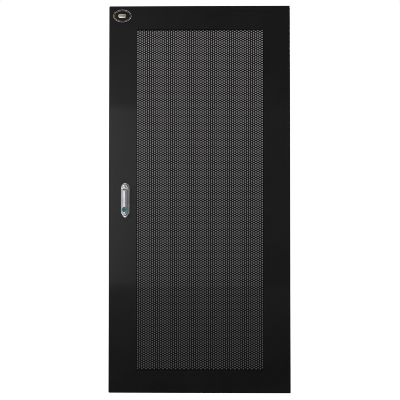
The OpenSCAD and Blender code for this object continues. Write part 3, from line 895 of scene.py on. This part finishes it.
def stage_sheet(name: str, corners: list[Point], material: bpy.types.Material) -> bpy.types.Object:
    """Adds a flat four-cornered piece of the stage.

    Args:
        name: Name of the piece.
        corners: Its corners in metres.
        material: Its material.

    Returns:
        The new object.
    """
    mesh = bpy.data.meshes.new(name)
    mesh.from_pydata(corners, [], [(0, 1, 2, 3)])
    made = bpy.data.objects.new(name, mesh)
    bpy.context.scene.collection.objects.link(made)
    made.data.materials.append(material)
    made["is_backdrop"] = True
    return made


def split_by_ray(made: Shader, others: Socket, camera: Socket, tree_end: str) -> None:
    """Shows one surface to the camera and another to all other rays.

    Args:
        made: Shader that the nodes go into.
        others: Surface for all rays but the camera's.
        camera: Surface that the camera sees.
        tree_end: Name of the tree's output node.
    """
    path = made.node("ShaderNodeLightPath")
    mixed = made.node("ShaderNodeMixShader", {0: path.outputs["Is Camera Ray"], 1: others, 2: camera})
    made.feed(made.tree.nodes[tree_end], {"Surface": mixed.outputs[0]})


@dataclass(frozen=True)
class Lamp:
    """Soft rectangular light: its place, its aim, its size, its watts and its spread in degrees."""

    name: str
    place: Point
    aim: Point
    width: float
    height: float
    power: float
    spread: float = 180.0

    def add(self) -> None:
        """Adds the light to the scene."""
        data = bpy.data.lights.new(self.name, "AREA")
        data.shape = "RECTANGLE"
        data.size = self.width
        data.size_y = self.height
        data.energy = self.power
        data.spread = math.radians(self.spread)
        light = bpy.data.objects.new(self.name, data)
        bpy.context.scene.collection.objects.link(light)
        light.location = self.place
        light.rotation_euler = (Vector(self.aim) - Vector(self.place)).to_track_quat("-Z", "Y").to_euler()


@dataclass(frozen=True)
class Card:
    """Upright glowing card: heights of its lower and upper edges, and its strength at each."""

    name: str
    bottom: float
    top: float
    low: float
    high: float


LAMPS = (
    Lamp("key", (-2.6, -2.2, 3.4), (-0.286, 0.0, 0.6), 1.6, 1.6, 30.0),
    Lamp("fill", (2.4, -2.0, 2.6), (-0.286, 0.0, 0.5), 1.8, 1.8, 14.0),
    Lamp("rear", (0.9, 2.4, 2.2), (-0.286, 0.0, 0.6), 1.6, 1.6, 110.0),
    Lamp("low", (-0.55, -0.75, 0.02), (-0.531, -0.03, 0.62), 0.45, 0.3, 0.045, spread=28.0),
)
CARDS = (
    Card("band_card", 0.07, 1.24, 1.62, 2.15),
    Card("upper_card", 1.241, 1.95, 0.88, 0.20),
)


@dataclass(frozen=True)
class PaintedShadeGround:
    """Painted shade close behind the pierced field: a grey glowing sheet that stands in for the shaded room
    seen through the holes, clear from behind, in two bands by height.
    """

    inset: float = 10.05 * MM
    gap: float = 14 * MM
    light: Colour = (1.0, 0.952, 0.95, 1.0)
    step: float = 0.30
    step_width: float = 0.02
    middle: float = 0.80
    below: tuple[float, float] = (0.067, 0.093)
    above: tuple[float, float] = (0.116, 0.190)
    extra: float = 0.048
    sides: tuple[float, float] = (0.98, 0.92)

    def build(self) -> None:
        """Builds the painted-shade sheet, seen only from the front."""
        low, high = node_size("perforated_sheet")
        left, right = low.x + self.inset, high.x - self.inset
        bottom, top = low.z + self.inset, high.z - self.inset
        depth = high.y + self.gap
        # Painted shade: a grey glow in place of the shaded room that the holes show
        material, made, shader = begin_material("dim_ground")
        made.feed(shader, {"Base Color": BLACK, "Emission Color": self.light, "Roughness": 1.0,
                           "Emission Strength": self.glow(made, low, high), "Specular IOR Level": 0.0})
        clear = made.node("ShaderNodeBsdfTransparent")
        side = made.node("ShaderNodeNewGeometry").outputs["Backfacing"]
        mixed = made.node("ShaderNodeMixShader", {0: side, 1: shader.outputs[0], 2: clear.outputs[0]})
        made.feed(made.tree.nodes["Material Output"], {"Surface": mixed.outputs[0]})
        # As a sampled light the painted-shade sheet would add noise, in which the fine holes are lost
        material.cycles.emission_sampling = "NONE"
        corners = [(left, depth, bottom), (right, depth, bottom), (right, depth, top), (left, depth, top)]
        stage_sheet("dim_ground", corners, material)

    def glow(self, made: Shader, low: Vector, high: Vector) -> Socket:
        """Gives the painted shade's strength by place: brighter above, darker towards the bottom, a little
        darker to the right.

        Args:
            made: Shader that the nodes go into.
            low: Low corner of the pierced sheet.
            high: High corner of the pierced sheet.

        Returns:
            The strength's socket.
        """
        axes = made.axes()
        # Painted shade: brighter above the step, darker towards the bottom, a little darker to the right
        upper = made.math("ADD", made.spread(axes["Z"], self.step, self.middle, *self.above),
                          made.spread(axes["Z"], self.middle, high.z, 0.0, self.extra))
        lower = made.spread(axes["Z"], low.z, self.step, *self.below)
        share = made.spread(axes["Z"], self.step, self.step + self.step_width, 0.0, 1.0)
        tone = made.math("ADD", made.math("MULTIPLY", upper, share),
                         made.math("MULTIPLY", lower, made.math("SUBTRACT", 1.0, share)))
        return made.math("MULTIPLY", tone, made.spread(axes["X"], low.x, high.x, *self.sides))


@dataclass(frozen=True)
class View:
    """Camera, which looks almost squarely at the door's front; its angles are in degrees."""

    eye: Point = (-0.2604, -2.014, 0.563)
    yaw: float = 0.677
    pitch: float = 0.92
    roll: float = -0.007
    focal: float = 54.503
    sensor: float = 36.0

    def build(self) -> None:
        """Adds the camera to the scene."""
        data = bpy.data.cameras.new("view")
        data.lens = self.focal
        data.sensor_width = self.sensor
        camera = bpy.data.objects.new("view", data)
        bpy.context.scene.collection.objects.link(camera)
        turn = Matrix.Rotation(math.radians(self.yaw), 4, "Z")
        tilt = Matrix.Rotation(math.radians(90 + self.pitch), 4, "X")
        lean = Matrix.Rotation(math.radians(-self.roll), 4, "Z")
        camera.matrix_world = Matrix.Translation(self.eye) @ turn @ tilt @ lean
        bpy.context.scene.camera = camera


@dataclass(frozen=True)
class Stage:
    """Room round the door: its ambient light, floor, glowing sheets, the painted-shade sheet behind the
    holes, and lights.
    """

    left: float = -1.7
    right: float = 0.9
    card_depth: float = -2.014
    fade_from: float = -1.0
    fade_to: float = 0.3
    least: float = 0.13
    front_room: float = 0.11
    back_room: float = 0.55
    floor_reach: float = 30.0
    floor_gap: float = 0.5 * MM
    floor_tone: Colour = (0.10, 0.10, 0.10, 1.0)
    floor_light: Colour = (1.0, 1.0, 1.04, 1.0)
    floor_near_to_far: tuple[float, float] = (-2.2, -0.3)
    floor_far: float = 0.42
    floor_near: float = 0.14
    floor_least: float = 0.75
    wall: float = 0.62
    ceiling_height: float = 2.6
    overhead: float = 0.6

    def build(self) -> None:
        """Builds the whole stage."""
        View().build()
        self.world()
        self.floor()
        # Painted shade behind the pierced field, glowing grey in place of a shaded room
        PaintedShadeGround().build()
        for lamp in LAMPS:
            lamp.add()
        for card in CARDS:
            self.card(card)
        self.side_wall()
        self.ceiling()

    def world(self) -> None:
        """Lights the room, dim before the door and brighter behind it, on a pale ground."""
        world = bpy.data.worlds.new("room")
        world.use_nodes = True
        bpy.context.scene.world = world
        made = Shader(world.node_tree)
        base = world.node_tree.nodes["Background"]
        way = made.node("ShaderNodeTexCoord").outputs["Generated"]
        behind = made.node("ShaderNodeSeparateXYZ", {0: way}).outputs["Y"]
        glow = made.spread(behind, 0.05, 0.35, self.front_room, self.back_room)
        made.feed(base, {"Color": COOL_LIGHT, "Strength": glow})
        pale = made.node("ShaderNodeBackground", {"Color": WHITE, "Strength": 1.0})
        split_by_ray(made, base.outputs[0], pale.outputs[0], "World Output")

    def floor(self) -> None:
        """Adds a wide pale floor under the door, which throws little light back on it."""
        low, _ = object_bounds()
        reach, height = self.floor_reach, low[2] - self.floor_gap
        material, made, shader = begin_material("pale_floor")
        made.feed(shader, {"Base Color": self.floor_tone, "Roughness": 1.0, "Specular IOR Level": 0.0,
                           "Emission Color": WHITE, "Emission Strength": 1.0})
        axes = made.axes()
        ahead = made.spread(axes["Y"], *self.floor_near_to_far, self.floor_far, self.floor_near)
        glow = made.math("MULTIPLY", self.falloff(made, axes["X"], self.floor_least), ahead)
        dim = made.node("ShaderNodeEmission", {"Color": self.floor_light, "Strength": glow})
        split_by_ray(made, dim.outputs[0], shader.outputs[0], "Material Output")
        corners = [(-reach, -reach, height), (reach, -reach, height), (reach, reach, height),
                   (-reach, reach, height)]
        stage_sheet("floor", corners, material)

    def falloff(self, made: Shader, across: Socket, least: float) -> Socket:
        """Gives a strength that falls from the left of the room to its right.

        Args:
            made: Shader that the nodes go into.
            across: Socket of the place across the door.
            least: Share of the strength that is left at the right.

        Returns:
            The strength's socket.
        """
        share = made.spread(across, self.fade_from, self.fade_to, 1.0, 0.0)
        return made.math("MAXIMUM", made.math("MULTIPLY", share, share), least)

    @staticmethod
    def glow_sheet(corners: list[Point], strength: Value, material: bpy.types.Material, made: Shader) -> None:
        """Adds a glowing sheet that only reflections and the light on the part show.

        Args:
            corners: Its four corners in metres.
            strength: Its strength, or the socket that gives it.
            material: Its material, already begun, which gives the sheet its name.
            made: Shader of the material.
        """
        shine = made.node("ShaderNodeEmission", {"Color": COOL_LIGHT, "Strength": strength})
        made.feed(made.tree.nodes["Material Output"], {"Surface": shine.outputs[0]})
        sheet = stage_sheet(material.name, corners, material)
        sheet.visible_camera = False
        sheet.visible_shadow = False

    def card(self, card: Card) -> None:
        """Adds a card in front of the door, whose strength changes with height."""
        left, right, depth = self.left, self.right, self.card_depth
        material, made, _ = begin_material(card.name)
        axes = made.axes()
        along = made.spread(axes["Z"], card.bottom, card.top, card.low, card.high)
        glow = made.math("MULTIPLY", self.falloff(made, axes["X"], self.least), along)
        corners = [(left, depth, card.bottom), (left, depth, card.top), (right, depth, card.top),
                   (right, depth, card.bottom)]
        self.glow_sheet(corners, glow, material, made)

    def side_wall(self) -> None:
        """Adds a pale wall at the left, which lights the left facets of the handle."""
        material, made, _ = begin_material("side_wall")
        low, high = -0.04, 2.4
        corners = [(-1.75, -2.2, low), (-1.75, -2.2, high), (-3.0, 0.4, high), (-3.0, 0.4, low)]
        self.glow_sheet(corners, self.wall, material, made)

    def ceiling(self) -> None:
        """Adds a pale ceiling before the door, which lights the domed head from above."""
        material, made, _ = begin_material("ceiling")
        height, near, far = self.ceiling_height, -1.9, -0.1
        corners = [(self.left, near, height), (self.right, near, height), (self.right, far, height),
                   (self.left, far, height)]
        self.glow_sheet(corners, self.overhead, material, made)


# ---- Door ---------------------------------------------------------------------------


def note_size(key: str, sizes: dict) -> None:
    """Notes the present bounds under a key.

    Args:
        key: Name of the note.
        sizes: Notes made so far.
    """
    low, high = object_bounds()
    sizes[key] = [[float(v) for v in low], [float(v) for v in high]]


def main() -> None:
    """Dresses the frame, builds the pieces and the stage, and notes the sizes."""
    logging.basicConfig(level=logging.INFO, format="%(name)s: %(message)s")
    sizes: dict = {}
    note_size("cad", sizes)
    bpy.context.scene.view_settings.view_transform = "Standard"
    bpy.context.scene.cycles.filter_width = 0.85
    Stage().build()
    WARDROBE.dress_frame()
    PiercedSheet().build()
    Badge().build()
    HingeSpring().build()
    note_size("visual", sizes)


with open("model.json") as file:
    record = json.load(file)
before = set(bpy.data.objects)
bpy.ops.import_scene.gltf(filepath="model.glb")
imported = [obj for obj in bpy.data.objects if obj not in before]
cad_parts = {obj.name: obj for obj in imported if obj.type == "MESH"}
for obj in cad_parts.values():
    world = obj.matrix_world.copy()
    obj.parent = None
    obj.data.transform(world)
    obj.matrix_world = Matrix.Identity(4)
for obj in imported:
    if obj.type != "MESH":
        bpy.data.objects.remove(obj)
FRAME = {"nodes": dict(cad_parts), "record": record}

if __name__ == "__main__":
    main()
